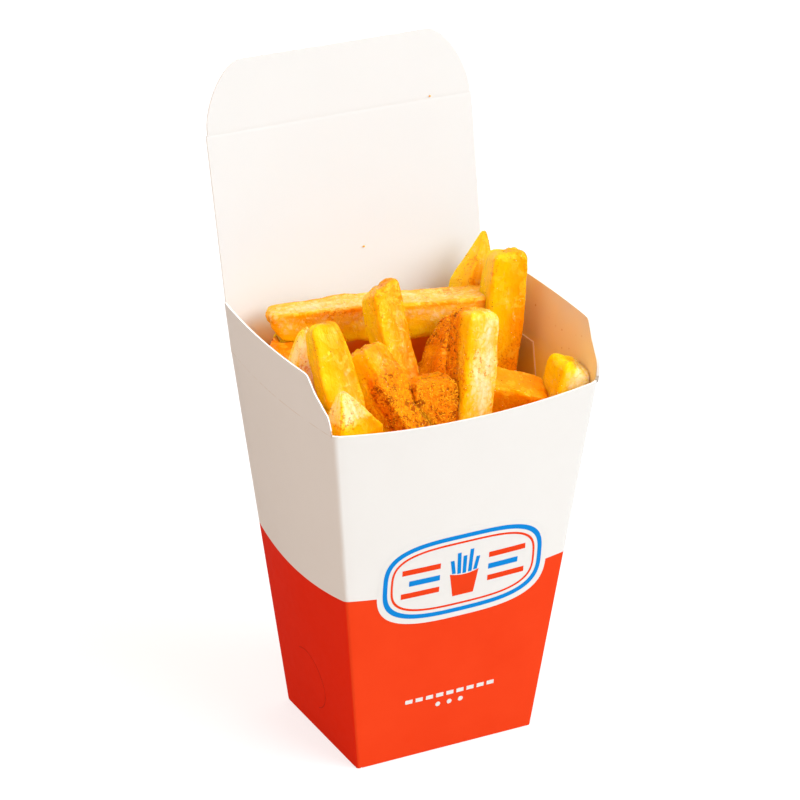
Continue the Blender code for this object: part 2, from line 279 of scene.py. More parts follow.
class Surface(Nodes):
    """A material and its shader."""

    def __init__(self, name, roughness=0.5):
        self.material = bpy.data.materials.new(name)
        self.material.use_nodes = True
        super().__init__(self.material.node_tree)
        self.shader = self.tree.nodes["Principled BSDF"]
        self.set({"Roughness": roughness, "IOR": 1.46, "Specular IOR Level": 0.05})

    def set(self, inputs):
        for key, value in inputs.items():
            self.link(value, self.shader.inputs[key])

    def bump(self, height, strength, distance):
        inputs = {"Height": height, "Strength": strength, "Distance": distance}
        self.set({"Normal": self.add("ShaderNodeBump", inputs).outputs["Normal"]})

    def colour(self, value):
        self.set({"Base Color": value})

    def rough(self, value):
        self.set({"Roughness": value})

    def board_relief(self, place, strength=0.10):
        """Soft waves of the sheet, and the fibre under its coating."""
        waves = self.noise(place, 38, 2.0)
        fibre = self.noise(place, 900, 3.0)
        self.bump(self.times(fibre, 0.06, waves), strength, 0.0006)


WHITE_INK = (0.72, 0.716, 0.708)
RED_INK = (0.74, 0.047, 0.0085)
BLUE_INK = (0.003, 0.215, 0.62)
BARE_BOARD = (0.675, 0.668, 0.658)


def printed_board():
    """Coated board: white above, red below a gently sagging edge."""
    nodes = Surface("printed_board", 0.38)
    place = nodes.rest_place()
    x, y, z = nodes.parts(place)
    # The edge sags most halfway along each wall.
    across = nodes.maths("DIVIDE", x, half_width(60) * MM)
    along = nodes.maths("DIVIDE", y, half_depth(60) * MM)
    sag_front = nodes.maths("SUBTRACT", 1.0, nodes.maths("POWER", across, 2.0), clamp=True)
    sag_side = nodes.maths("SUBTRACT", 1.0, nodes.maths("POWER", along, 2.0), clamp=True)
    sag = nodes.maths("MAXIMUM", sag_front, sag_side)
    edge = nodes.times(sag, -FIELD_EDGE_SAG * MM, FIELD_EDGE_AT_CORNER * MM)
    below = nodes.maths("SUBTRACT", edge, z)
    red = nodes.ramp(below, -0.00006, 0.00006, False)
    mottle = nodes.noise(place, 55, 3.0)
    red_shade = nodes.mix(mottle, (0.715, 0.040, 0.0066), (0.775, 0.054, 0.0105))
    # Painted shade: the red is deeper and darker on the left wall, whose face is turned from the key light.
    outwards = nodes.parts(nodes.add("ShaderNodeTexCoord").outputs["Normal"])[0]
    red_shade = nodes.mix(nodes.ramp(outwards, -0.60, -0.85), red_shade, (0.75, 0.020, 0.0025))
    white_shade = nodes.mix(mottle, (0.695, 0.688, 0.676), WHITE_INK)
    base = nodes.mix(red, white_shade, red_shade)
    # The coating is rubbed off at the base's corners in small spots.
    worn = nodes.noise(place, 420, 2.0)
    low = nodes.ramp(z, 0.0009, 0.0001)
    corner = nodes.times(nodes.maths("ABSOLUTE", x), nodes.maths("ABSOLUTE", y))
    low = nodes.times(low, nodes.ramp(corner, 0.00066, 0.00074))
    rubbed = nodes.ramp(nodes.times(worn, low), 0.40, 0.48)
    nodes.colour(nodes.mix(rubbed, base, BARE_BOARD))
    nodes.rough(nodes.ramp(nodes.noise(place, 120, 2.0), -0.6, 2.2, False))
    nodes.board_relief(place, 0.12)
    return nodes.material


def inner_board():
    """The unprinted inside, with a painted glow of the fries' orange light: deep orange among the fries,
    paler above them, and painted shade low on the back wall; dark specks lower down.
    """
    nodes = Surface("inner_board", 0.55)
    place = nodes.rest_place()
    x, y, z = nodes.parts(place)
    stain_and_glow = nodes.noise(place, 70, 3.0)
    rise = nodes.times(stain_and_glow, 0.012, z)
    # Painted glow: on the left side the orange is deeper and reaches higher.
    left = nodes.ramp(x, -0.030, -0.043)
    level = nodes.times(left, -0.008, rise)
    low = nodes.ramp(level, 0.114, 0.134)
    high = nodes.ramp(level, 0.132, 0.156)
    deepest = nodes.mix(left, (1.0, 0.660, 0.060), (1.0, 0.500, 0.012))
    colour = nodes.mix(low, deepest, nodes.mix(left, (0.82, 0.610, 0.285), (0.95, 0.650, 0.300)))
    colour = nodes.mix(high, colour, nodes.mix(left, (0.68, 0.600, 0.510), (0.88, 0.720, 0.560)))
    # Painted shade: low on the back wall, under the fries, the board is dark red-brown.
    painted_light_mask = nodes.times(nodes.ramp(y, 0.025, 0.032), nodes.ramp(rise, 0.134, 0.120))
    colour = nodes.mix(painted_light_mask, colour, (0.74, 0.175, 0.003))
    dots = nodes.cells(place, 330)
    dotted = nodes.times(nodes.ramp(dots, 0.16, 0.10), nodes.ramp(stain_and_glow, 0.50, 0.58))
    dotted = nodes.times(dotted, nodes.ramp(rise, 0.150, 0.125))
    nodes.colour(nodes.mix(dotted, colour, (0.50, 0.13, 0.004)))
    # Thin board lets some light through.
    light_through = {"Subsurface Weight": 0.45, "Subsurface Radius": (1.0, 0.8, 0.55), "Subsurface Scale": 0.0012}
    nodes.set(light_through)
    nodes.board_relief(place)
    return nodes.material


def lid_board():
    """The lid's bare inside: white, with a painted warm glow near the fries and painted orange light where it
    meets them.
    """
    nodes = Surface("lid_inside", 0.5)
    place = nodes.rest_place()
    mottle = nodes.noise(place, 45, 3.0)
    rise = nodes.times(mottle, 0.010, nodes.parts(place)[2])
    white = nodes.mix(mottle, tuple(0.97 * c for c in BARE_BOARD), BARE_BOARD)
    # Painted glow: warmer towards the fries, orange where they touch.
    warm = nodes.mix(nodes.ramp(rise, 0.160, 0.134), white, (0.712, 0.696, 0.664))
    nodes.colour(nodes.mix(nodes.ramp(rise, 0.136, 0.126), warm, (0.86, 0.57, 0.25)))
    nodes.board_relief(place)
    return nodes.material


def plain_board(name, shade, roughness, scored=False):
    """White board with a faint mottle, for the lid, the flaps' outsides and the cut edges."""
    nodes = Surface(name, roughness)
    place = nodes.rest_place()
    mottle = nodes.noise(place, 45, 3.0)
    darker = tuple(0.965 * channel for channel in shade)
    base = nodes.mix(mottle, darker, shade)
    if scored:
        # The coating has cracked a little along the folded score line.
        away = nodes.maths("ABSOLUTE", nodes.maths("SUBTRACT", nodes.parts(place)[2], 0.12205))
        line = nodes.ramp(away, 0.00022, 0.00005)
        cracked = nodes.times(line, nodes.ramp(nodes.noise(place, 260, 3.0), 0.35, 0.60))
        base = nodes.mix(nodes.times(cracked, 0.45), base, (0.55, 0.42, 0.30))
    nodes.colour(base)
    nodes.board_relief(place)
    return nodes.material


def ink(name, shade):
    """A flat printed colour with the mottle of ink on board."""
    nodes = Surface(name, 0.38)
    place = nodes.place()
    mottle = nodes.noise(place, 300, 3.0)
    darker = tuple(0.93 * channel for channel in shade)
    nodes.colour(nodes.mix(mottle, darker, shade))
    nodes.bump(nodes.noise(place, 900, 3.0), 0.06, 0.0003)
    return nodes.material


def fried_potato(name):
    """Fried potato, from what the mesh says of each point.

    Its colours are how near an edge the point is (r), how pale, with painted light on faces towards the key
    (g), how crusty (b) and how far its face looks away from the key light, for painted glow (alpha). Its
    "grain" is the place within the fry, so skin streaks and painted highlight streaks run along it.
    """
    nodes = Surface(name, 0.30)
    place = nodes.place()
    marks = nodes.add("ShaderNodeVertexColor", layer_name="marks")
    edge, pale, crust = nodes.add("ShaderNodeSeparateColor", {0: marks.outputs["Color"]}).outputs
    light_through = marks.outputs["Alpha"]
    streak = nodes.noise(nodes.attribute("grain"), 430, 4.0, 0.62)
    mottle = nodes.ramp(nodes.noise(place, 330, 2.0, 0.5, 0.9), 0.52, 0.62)
    blotch = nodes.noise(place, 130, 3.0, 0.6)
    fine = nodes.noise(place, 900, 4.0, 0.65)
    # Golden skin, with painted shade: more orange the deeper it lies in the heap; browner towards a crust.
    deep = nodes.ramp(nodes.times(blotch, 0.012, nodes.parts(place)[2]), 0.128, 0.106)
    yellow = nodes.ramp(nodes.noise(place, 95, 3.0, 0.6), 0.34, 0.66)
    golden = nodes.mix(yellow, (1.0, 0.275, 0.0002), (1.0, 0.352, 0.0005))
    # Painted glow: faces turned from the key light are yellower, as if lit through the fry.
    golden = nodes.mix(nodes.times(light_through, 0.80), golden, (1.0, 0.745, 0.0016))
    golden = nodes.mix(deep, golden, (1.0, 0.300, 0.0002))
    golden = nodes.mix(nodes.times(edge, 0.26), golden, (1.0, 0.270, 0.0003))
    # Below 0 paleness the fry is more orange: its own tone, and painted shade on fries lying in shadow.
    golden = nodes.mix(nodes.ramp(pale, 0.0, -1.0, False), golden, (1.0, 0.215, 0.0002))
    golden = nodes.mix(nodes.ramp(crust, 0.16, 0.90), golden, (0.86, 0.155, 0.0004))
    # Pale flesh shows where the skin is thin, in blotches and mottles, and in streaks that are partly painted
    # highlight streaks.
    amount = nodes.times(pale, 0.78, -0.98)
    amount = nodes.times(blotch, 0.90, amount)
    amount = nodes.times(streak, 1.00, amount)
    amount = nodes.times(mottle, 0.14, amount)
    amount = nodes.times(edge, -0.30, amount)
    flesh = nodes.ramp(amount, 0.10, 0.66)
    white = nodes.ramp(amount, 0.50, 1.00)
    # Painted light: lit and shaded copies of the flesh; faces turned from the key light get the brighter,
    # yellower one.
    lit = nodes.mix(white, (1.0, 0.495, 0.070), (1.0, 0.690, 0.410))
    shaded = nodes.mix(white, (1.0, 0.700, 0.050), (1.0, 0.890, 0.520))
    colour = nodes.mix(flesh, golden, nodes.mix(light_through, lit, shaded))
    # Painted sheen: brighter yellow spots on the smooth skin.
    painted_light_mask = nodes.times(mottle, nodes.ramp(crust, 0.5, 0.1))
    colour = nodes.mix(nodes.times(painted_light_mask, 0.36), colour, (1.0, 0.540, 0.026))
    # The flesh is a net of small pale swellings with wrinkles between them.
    shifted = nodes.pushed(place, nodes.times(fine, 0.16, blotch))
    veins = nodes.cells(shifted, 460, "DISTANCE_TO_EDGE")
    open_flesh = nodes.times(flesh, 0.90, 0.03)
    swelling = nodes.ramp(nodes.times(fine, 0.35, veins), 0.26, 0.52)
    swollen = nodes.mix(0.34, colour, (1.0, 0.82, 0.54))
    colour = nodes.mix(nodes.times(swelling, open_flesh), colour, swollen)
    wrinkles = nodes.times(nodes.ramp(veins, 0.12, 0.0), nodes.ramp(fine, 0.47, 0.60))
    wrinkles = nodes.times(wrinkles, open_flesh)
    colour = nodes.mix(nodes.times(wrinkles, 0.50), colour, (1.0, 0.400, 0.008))
    # Brown flecks gather along the edges, in patches and near a crust.
    fleck = nodes.noise(place, 1000, 3.0, 0.72)
    fleck = nodes.times(edge, 0.060, fleck)
    fleck = nodes.times(crust, 0.28, fleck)
    fleck = nodes.times(nodes.noise(place, 75, 2.0), 0.62, fleck)
    flecked = nodes.ramp(fleck, 0.965, 1.04)
    colour = nodes.mix(nodes.times(flecked, 0.72), colour, (0.74, 0.190, 0.0010))
    # Crusty faces are covered in fried crumb, in light and dark grains.
    crumbly = nodes.noise(place, 480, 4.0, 0.75)
    light_crumb = nodes.mix(nodes.ramp(fine, 0.44, 0.62), (0.84, 0.200, 0.0005), (1.0, 0.330, 0.0015))
    patchy = nodes.times(blotch, -0.55, crumbly)
    crusted = nodes.mix(nodes.ramp(patchy, 0.24, 0.10), light_crumb, (0.40, 0.072, 0.0004))
    spread = nodes.times(crust, 1.30, nodes.times(blotch, 0.5))
    covered = nodes.ramp(spread, 0.74, 1.08)
    colour = nodes.mix(covered, colour, crusted)
    nodes.colour(colour)
    dull = nodes.times(covered, 0.34, 0.10)
    nodes.rough(nodes.times(fine, 0.20, dull))
    relief = nodes.times(streak, 1.1, nodes.times(fine, 0.45))
    relief = nodes.times(mottle, 0.16, relief)
    relief = nodes.times(nodes.times(covered, crumbly), 2.0, relief)
    relief = nodes.times(wrinkles, -0.20, relief)
    nodes.bump(relief, 0.7, 0.0008)
    inside = {"Subsurface Weight": 0.85, "Subsurface Radius": (0.62, 0.80, 0.12), "Subsurface Scale": 0.0055}
    nodes.set({**inside, "Specular IOR Level": 0.50, "Specular Tint": (1.0, 0.80, 0.16)})
    return nodes.material


def crumb_material(name, dark, light, roughness):
    nodes = Surface(name, roughness)
    place = nodes.place()
    nodes.colour(nodes.mix(nodes.noise(place, 800, 2.0), dark, light))
    nodes.bump(nodes.noise(place, 3000, 2.0), 0.3, 0.0002)
    return nodes.material


# The carton's board


def body_loop():
    """Round the walls: side, place along it, and the share of a rounded corner."""
    loop = []
    sides = ("front", "right", "back", "left")
    for number, side in enumerate(sides):
        half = half_width(60) if side in ("front", "back") else half_depth(60)
        edge = 1 - CORNER_ROUND / half
        for value in steps_through([-edge, edge], [34]):
            loop.append((side, value, None, 0.0))
        for step in range(1, 5):
            loop.append((side, edge, sides[(number + 1) % 4], step / 5))
    return loop


LOOP = body_loop()


def loop_point(entry, height, inset):
    side, across, following, share = entry
    if following is None:
        return wall_point(side, across, height, inset)
    half = half_width(60) if following in ("front", "back") else half_depth(60)
    start = wall_point(side, across, height, inset)
    end = wall_point(following, -1 + CORNER_ROUND / half, height, inset)
    corner = wall_point(side, 1.0, height, inset)
    return start * (1 - share) ** 2 + corner * 2 * share * (1 - share) + end * share**2


def make_body(printed, inner, cut):
    """The walls. The rim stops just under the creases at the sides and back."""
    crease = RIM_HEIGHT - CREASE_LEAD
    rows = steps_through([0.0, 1.5, 118.0, 120.0], [3, 46, 2])

    def top(entry):
        side, across, following, share = entry
        if side == "front" and following is None:
            return front_rim(across)
        if side == "front" or following == "front":
            return RIM_HEIGHT + 0.4
        return crease

    def place(u, v, k):
        entry = LOOP[int(round(u * len(LOOP))) % len(LOOP)]
        height = looked_up(rows, v) / rows[-1] * top(entry)
        return loop_point(entry, height, BOARD * k)

    mesh = slab("carton_board", len(LOOP), len(rows) - 1, place, loop=True)
    body = add_piece("carton_board", mesh, [printed, inner, cut], "carton")
    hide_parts("carton_body")


def base_sheet(name, y_from, y_to, low, printed, inner, cut):
    """One flap of the folded base, flat between the walls."""
    half = BASE_WIDTH / 2 - BOARD - 0.05

    def place(u, v, k):
        return Vector((half * (2 * u - 1), y_from + (y_to - y_from) * v, low + BOARD * k))

    mesh = slab(name, 24, 12, place)
    add_piece(name, mesh, [printed, inner, cut], "carton")


def make_tab(inner, cut):
    """The glued tab inside the right wall."""

    def place(u, v, k):
        height = 3.0 + 116.0 * v
        front = max(-3.0, 5.2 - 0.41 * (119.0 - height))
        deep = half_depth(height) - BOARD
        y = front + (deep - 0.1 - front) * u
        point = wall_point("right", y / deep, height, BOARD)
        return point - Vector((BOARD * k * 0.85 - 0.05, 0, 0))

    mesh = slab("glued_tab", 16, 30, place)
    add_piece("glued_tab", mesh, [inner, inner, cut], "carton")


def flap_height(y):
    for (y0, z0), (y1, z1) in zip(FLAP_OUTLINE, FLAP_OUTLINE[1:]):
        if y <= y1:
            share = max(0.0, (y - y0) / (y1 - y0))
            return z0 + (z1 - z0) * share
    return RIM_HEIGHT + 0.3


def make_side_flap(side, outside, inner, cut):
    """A side flap and its crease, one sheet that rises from the wall."""
    sign = -1 if side == "left" else 1
    low = RIM_HEIGHT - CREASE_LEAD
    edge = half_depth(60) - CORNER_ROUND
    ends = edge / half_depth(60) * half_depth(RIM_HEIGHT)
    corners = [-ends] + [y for y, z in FLAP_OUTLINE[1:]] + [34.95, ends]
    stops = steps_through(corners, [1, 1, 1, 2, 3, 2, 1, 2, 2, 44, 1, 2])
    creased = [low + step for step in (0, 0.3, 0.6, 0.9, 1.2)]
    count = len(creased) + 12

    def place(u, v, k):
        y = looked_up(stops, u)
        top = flap_height(y)
        step = v * (count - 1)
        if step <= len(creased) - 1:
            height = looked_up(creased, step / (len(creased) - 1))
            height = min(height, top)
        else:
            share = (step - len(creased) + 1) / (count - len(creased))
            height = creased[-1] + (max(top, creased[-1]) - creased[-1]) * share
        if side == "right":
            # Its front edge stands a little further forward.
            y -= FORWARD * clamped((-20 - y) / 8) * min((height - low) / FORWARD, 1)
        across = y / half_depth(height) * sign
        return wall_point(side, across, height, BOARD * k)

    name = "flap_board_" + side
    mesh = slab(name, len(stops) - 1, 16, place)
    flap = add_piece(name, mesh, [outside, inner, cut])
    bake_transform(flap)
    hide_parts("side_flap_" + side)


def lid_frame():
    """Along the lid from its hinge, and out through its inner face."""
    along = Vector((0, math.sin(LID_TILT), math.cos(LID_TILT)))
    inward = Vector((0, -math.cos(LID_TILT), math.sin(LID_TILT)))
    return Vector((0, RIM_DEPTH / 2, RIM_HEIGHT)), along, inward


def lid_point(x, s, depth):
    """A point of the lid's sheet, depth mm in from its outer face.

    Below the hinge it follows the back wall.
    """
    hinge, along, inward = lid_frame()
    if s < 0:
        height = RIM_HEIGHT + s
        return Vector((x, half_depth(height) - depth, height))
    return hinge + along * s + inward * depth + Vector((x, 0, 0))


def crease_dent(distance):
    """How far a score line presses the sheet at a distance from it."""
    return 0.06 * math.exp(-((distance / 0.5) ** 2))


def make_lid(outside, inner, cut):
    last = LID_LENGTH - 1.0
    stops = steps_through([-CREASE_LEAD, -0.3, 0.0, 0.3, 0.9, last], [1, 1, 1, 2, 40])

    def place(u, v, k):
        s = looked_up(stops, v)
        half = LID_HALF_AT_HINGE + (LID_HALF_AT_TUCK - LID_HALF_AT_HINGE) * max(s, 0) / LID_LENGTH
        if s < 0:
            half = 43.6 + (LID_HALF_AT_HINGE - 43.6) * (1 + s / CREASE_LEAD)
        x = half * (2 * u - 1)
        bow = 0.5 * (1 - (2 * u - 1) ** 2) * math.sin(math.pi * max(s, 0) / (LID_LENGTH + TUCK_LENGTH))
        return lid_point(x, s, BOARD * k - bow)

    mesh = slab("lid_board", 40, len(stops) - 1, place)
    lid = add_piece("lid_board", mesh, [outside, inner, cut])
    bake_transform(lid)
    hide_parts("lid_panel")


def tuck_half_width(t):
    """Half the tuck flap's width, t mm above its crease."""
    if t <= 0:
        return LID_HALF_AT_TUCK
    if t <= TUCK_STRAIGHT:
        return TUCK_HALF
    tall = TUCK_LENGTH - TUCK_STRAIGHT
    share = min((t - TUCK_STRAIGHT) / tall, 1.0)
    wide = TUCK_HALF - TUCK_FLAT_HALF
    return TUCK_FLAT_HALF + wide * (1 - share**TUCK_ROUNDNESS) ** (1 / TUCK_ROUNDNESS)


def make_tuck(outside, inner, cut):
    round_steps = [
        TUCK_STRAIGHT + (TUCK_LENGTH - TUCK_STRAIGHT) * math.sin(math.pi / 2 * n / 22) for n in range(1, 23)
    ]
    lead = [-1.0, -0.6, -0.3, -0.1, 0.0, 0.02, 0.2, 0.5, 1.0, TUCK_STRAIGHT]
    stops = lead + round_steps

    def place(u, v, k):
        t = looked_up(stops, v)
        half = tuck_half_width(t)
        if t <= 0:
            half = LID_HALF_AT_HINGE + (LID_HALF_AT_TUCK - LID_HALF_AT_HINGE) * (LID_LENGTH + t) / LID_LENGTH
        s = LID_LENGTH + t
        bow = 0.5 * (1 - (2 * u - 1) ** 2) * math.sin(math.pi * s / (LID_LENGTH + TUCK_LENGTH))
        return lid_point(half * (2 * u - 1), s, BOARD * k - bow - crease_dent(t) * (1 if k else 0.6))

    mesh = slab("tuck_board", 48, len(stops) - 1, place)
    tuck = add_piece("tuck_board", mesh, [outside, inner, cut])
    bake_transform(tuck)
    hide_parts("tuck_flap")


# Print on the front wall: flat shapes only


def print_patch(name, material, columns, rows, place, loop=False, lift=0.05, side="front"):
    """A printed shape: place(u, v) gives x (or y on a side wall) and height in mm on the wall."""

    def lifted(u, v, k):
        flat, height = place(u, v)
        half = half_width(height) if side == "front" else half_depth(height)
        sign = -1 if side == "left" else 1
        return wall_point(side, sign * flat / half, height, -lift if k == 0 else 0.2)

    mesh = slab(name, columns, rows, lifted, loop)
    add_piece(name, mesh, [material] * 3, "carton")


BADGE_X, BADGE_Z = 1.5, 65.5


def pill(half_x, half_z):
    """A rounded plaque with straight top and bottom, round the badge's centre."""

    def place(u, v):
        angle = math.tau * u
        c, s = math.cos(angle), math.sin(angle)
        power = 2 / 3.2
        x = half_x * math.copysign(abs(c) ** power, c)
        z = half_z * math.copysign(abs(s) ** power, s)
        return BADGE_X + x * v, BADGE_Z + z * v

    return place


def pill_ring(half_x, half_z, width):
    outer, inner = pill(half_x, half_z), pill(half_x - width, half_z - width)

    def place(u, v):
        a, b = outer(u, 1.0), inner(u, 1.0)
        return a[0] + (b[0] - a[0]) * v, a[1] + (b[1] - a[1]) * v

    return place


def bar(x0, x1, z0, z1, slant=0.0):
    def place(u, v):
        return x0 + (x1 - x0) * u + slant * v, z0 + (z1 - z0) * v

    return place


def dot(x, z, radius):
    def place(u, v):
        angle = math.tau * u
        reach = radius * max(v, 0.02)
        return x + reach * math.cos(angle), z + reach * math.sin(angle)

    return place


def make_print(white, red, blue):
    """A plaque with a small cup of fries between stripes, and a row of dashes lower down."""
    print_patch("badge_field", white, 96, 14, lambda u, v: pill(29.5, 15.8)(u, max(v, 0.02)), True, 0.04)
    print_patch("badge_ring_blue", blue, 96, 2, pill_ring(27.6, 14.0, 1.5), True, 0.07)
    print_patch("badge_ring_red", red, 96, 2, pill_ring(25.0, 11.4, 0.7), True, 0.07)

    def cup(u, v):
        half = 3.6 + 1.4 * v
        top = -0.9 * (1 - (2 * u - 1) ** 2) * v
        return BADGE_X + half * (2 * u - 1), BADGE_Z - 8.0 + 8.2 * v + top

    print_patch("badge_cup", red, 12, 8, cup, False, 0.08)
    sticks = ((-3.6, 5.0, -0.8), (-1.8, 7.4, -0.3), (0.0, 6.0, 0.0), (1.9, 7.9, 0.4), (3.7, 4.8, 0.9))
    for number, (x, top, lean) in enumerate(sticks):
        left = BADGE_X + x - 0.65
        low = BADGE_Z + 0.6 - 0.9 * (1 - (x / 5.0) ** 2)
        stick = bar(left, left + 1.3, low, BADGE_Z + top, lean)
        print_patch(f"badge_stick_{number}", blue, 2, 8, stick, False, 0.08)
    stripes = ((13.0, 4.2, red), (10.5, 0.0, blue), (13.0, -4.2, red))
    for side, sign in (("left", -1), ("right", 1)):
        for number, (length, z, material) in enumerate(stripes):
            ends = sorted((BADGE_X + sign * 8.4, BADGE_X + sign * (8.4 + length)))
            stripe = bar(*ends, BADGE_Z + z - 0.95, BADGE_Z + z + 0.95)
            print_patch(f"badge_stripe_{side}_{number}", material, 14, 3, stripe, False, 0.08)
    for number in range(9):
        x = -14.4 + 3.6 * number
        print_patch(f"dash_upper_{number}", white, 4, 2, bar(x - 1.25, x + 1.25, 20.3, 21.7), False, 0.06)
    for number in range(3):
        print_patch(f"dot_lower_{number}", white, 20, 3, dot(-4.0 + 4.0 * number, 17.6, 0.85), True, 0.06)


def make_slit(material):
    """The short cut beside the tuck crease: a thin strip of painted shade, seen as a dark line on the board's
    inner face.
    """

    def place(u, v, k):
        x = -9.75 + 0.16 * u + 0.1 * math.sin(7 * v)
        return lid_point(x, LID_LENGTH + 0.1 + 3.4 * v, BOARD + (0.03 if k == 0 else -0.2) - 0.5)

    mesh = slab("tuck_slit", 1, 10, place)
    add_piece("tuck_slit", mesh, [material] * 3, "tuck")


def make_score_arc(material):
    """The half-moon score low on the left wall."""

    def place(u, v):
        angle = math.radians(60 + 190 * u)
        reach = 10.0 + 0.28 * v
        return 2.0 + reach * math.cos(angle), 20.0 + reach * math.sin(angle)

    print_patch("score_arc", material, 40, 1, place, False, 0.03, "left")


# The fries

# Ends in mm, then width, thickness, turn about the length in degrees, the ends' sizes,
# the tip's slant and the bow. Then how pale (more orange below 0, partly painted shade on fries in shadow;
# paler still from 2, with painted light on fries in the flaps' shade) and how crusty, at the base and at the
# tip.
SHOWN_FRIES = {
    "long_back": ((34, 12.5, 129.8), (-35, 27.5, 131.8), 13, 12.5, 0, 0.9, 0.58, 3, 0.5, 0.68, (0.06, 0.1)),
    "leaning_middle": ((-9.5, -15, 110), (-8.5, 7, 147.8), 10.5, 9.5, 8, 0.9, 0.9, 2.5, 0, 0.26, (0.0, 0.22)),
    "pointed_back": ((25, 16, 112), (40.6, 30, 148.2), 13, 10, 20, 0.9, 0.12, 1, 0, 0.3, (0.1, 0.0)),
    "thick_right": ((28.7, 3, 100), (39.2, 11.5, 149), 13.5, 11.5, -6, 0.72, 0.74, 1.2, 0, 0.1, (0.14, 0.04)),
    "front_upright": ((2.8, -27.5, 96), (11.5, -19, 146), 12, 11.3, 8, 1, 0.88, 0, 0, 1.0, (0.06, 0.04)),
    "crusty_slanting": (
        (-12, -29, 106), (-24.5, -13, 137.5), 13.5, 11.5, 30, 1.15, 0.75, 0, 0, 0.25, (0.84, 0.32)
    ),
    "curled_brown": ((4, -9, 108), (20, 4, 132), 14, 11, 10, 0.9, 0.7, 0, 2, -0.3, (0.42, 0.95)),
    "crusty_low": ((-3, -26, 98), (-5, -19, 127), 15, 12, -5, 0.9, 0.85, 0, 0, -0.3, (1.0, 0.95)),
    "left_yellow": ((-33, -27, 108), (-35.3, -8, 146), 12, 11, -6, 0.9, 0.58, 0, 0, 0.3, (0.0, 0.04)),
    "corner_pointed": ((-30, -26, 98), (-38.2, -28, 132.4), 16.5, 12, 15, 1, 0.15, -2, 0, 1.2, (0.1, 0.06)),
    "left_pointed": ((-41.7, -6.4, 97.5), (-35.2, 3, 139.6), 15, 9, 10, 0.9, 0.20, 2, 0, 8.0, (0, 0)),
    "right_wedge": ((37.2, -24, 96), (42.6, -26.5, 125.2), 15, 13, -8, 0.95, 0.8, -2.5, 0, 2.2, (0.05, 0.0)),
    "lying_right": ((8, -9, 115.5), (34.5, -23, 109.5), 18, 13, 10, 0.9, 0.75, 0, 0, -0.3, (0.1, 0.06)),
    "under_left": ((-41, 11, 122), (-25, 30, 122), 11, 11, 0, 0.8, 0.9, 0, 0, -1.0, (0, 0)),
    "shaded_left": ((-27, -15, 98), (-25, -4, 131), 11, 10, 15, 0.9, 0.8, 0, 0, -0.9, (0.25, 0.3)),
    "corner_low": ((-38, -23, 96), (-41, -21, 124), 9, 9, 0, 0.9, 0.8, 0, 0, 0.1, (0.1, 0.0)),
    "prop_left": ((-30, 9, 88), (-36.5, 15, 120), 11, 10, 10, 0.9, 0.85, 0, 0, 0.2, (0.1, 0.0)),
    "prop_back": ((-24, 21, 90), (-29, 27, 128.5), 11, 10, -8, 0.9, 0.85, 0, 0, 0.1, (0.1, 0.1)),
    "under_middle": ((-26, 14, 108), (18, 6, 110), 11, 11, 10, 0.9, 0.9, 0, 0, -0.9, (0.4, 0.35)),
}
PALE = ("long_back", "front_upright", "corner_pointed", "left_pointed", "right_wedge")
CRUSTY = ("crusty_slanting", "curled_brown", "crusty_low")

# Values of paleness and crust with a look of their own: browned most on the side turned from the key light,
# real browning with painted shade there; golden at the foot; paler still from this on, with painted light;
# and covered in crumb on the faces that lay on the pan above this
BROWNED_AND_SHADED_BEHIND, GOLDEN_FOOT, PALE_AND_LIT_FROM, CRUMBED = 1.0, 1.2, 2.0, 0.8

# Pointed fries narrow evenly along their last part.
POINTED, POINT_SHARE = 0.5, 0.4

LOWER_COLUMNS, LOWER_ROWS = 7, 5
LOWER_LENGTH = (36.0, 48.0)
LOWER_TIP_FRONT = (103.0, 107.0)
LOWER_TIP_BACK = (105.0, 112.0)
LOWER_LEAN = 14.0
CORE_TOP = 100.0


def fry_frame(base, tip, turn):
    along = (tip - base).normalized()
    guide = Vector((0, 0, 1)) if abs(along.x) > 0.7 else Vector((1, 0, 0))
    across = (guide - along * guide.dot(along)).normalized()
    across = Matrix.Rotation(math.radians(turn), 3, along) @ across
    return across, along.cross(across), along


def fry_section(sides, corner_steps, rounding):
    """Points round a square with rounded corners, each with how near it is to a corner."""
    points = []
    flat = 1 - rounding
    for quarter in range(4):
        turn = Matrix.Rotation(math.pi / 2 * quarter, 2)
        for n in range(sides):
            b = -flat + 2 * flat * n / sides
            points.append((turn @ Vector((1.0, b)), abs(b) ** 3))
        for n in range(corner_steps):
            angle = math.pi / 2 * n / corner_steps
            point = Vector((flat + rounding * math.cos(angle), flat + rounding * math.sin(angle)))
            points.append((turn @ point, 1.0))
    return points


def inside_walls(point, gap=0.45):
    """The point, moved in from the board where it would reach into it."""
    height = point.z
    wide, deep = half_width(height), half_depth(height)
    across = max(-1.0, min(1.0, point.x / wide))
    along = max(-1.0, min(1.0, point.y / deep))
    inset = BOARD + gap
    point.y = max(point.y, -deep - swell("front", height) * (1 - across * across) + inset)
    point.y = min(point.y, deep - inset)
    point.x = max(point.x, -wide - swell("left", height) * (1 - along * along) + inset)
    point.x = min(point.x, wide + swell("right", height) * (1 - along * along) - inset)
    return point


def fry_size(share, base_size, tip_size):
    """A fry's size at a share of its length, against its widest."""
    blunt = max(tip_size, 0.9) if tip_size < POINTED else tip_size
    ends = base_size + (blunt - base_size) * share
    size = ends + (1 - ends) * math.sin(math.pi * clamped(share)) ** 0.5 * 0.8
    if tip_size < POINTED:
        size = min(size, tip_size + (1 - tip_size) * (1 - share) / POINT_SHARE)
    return size


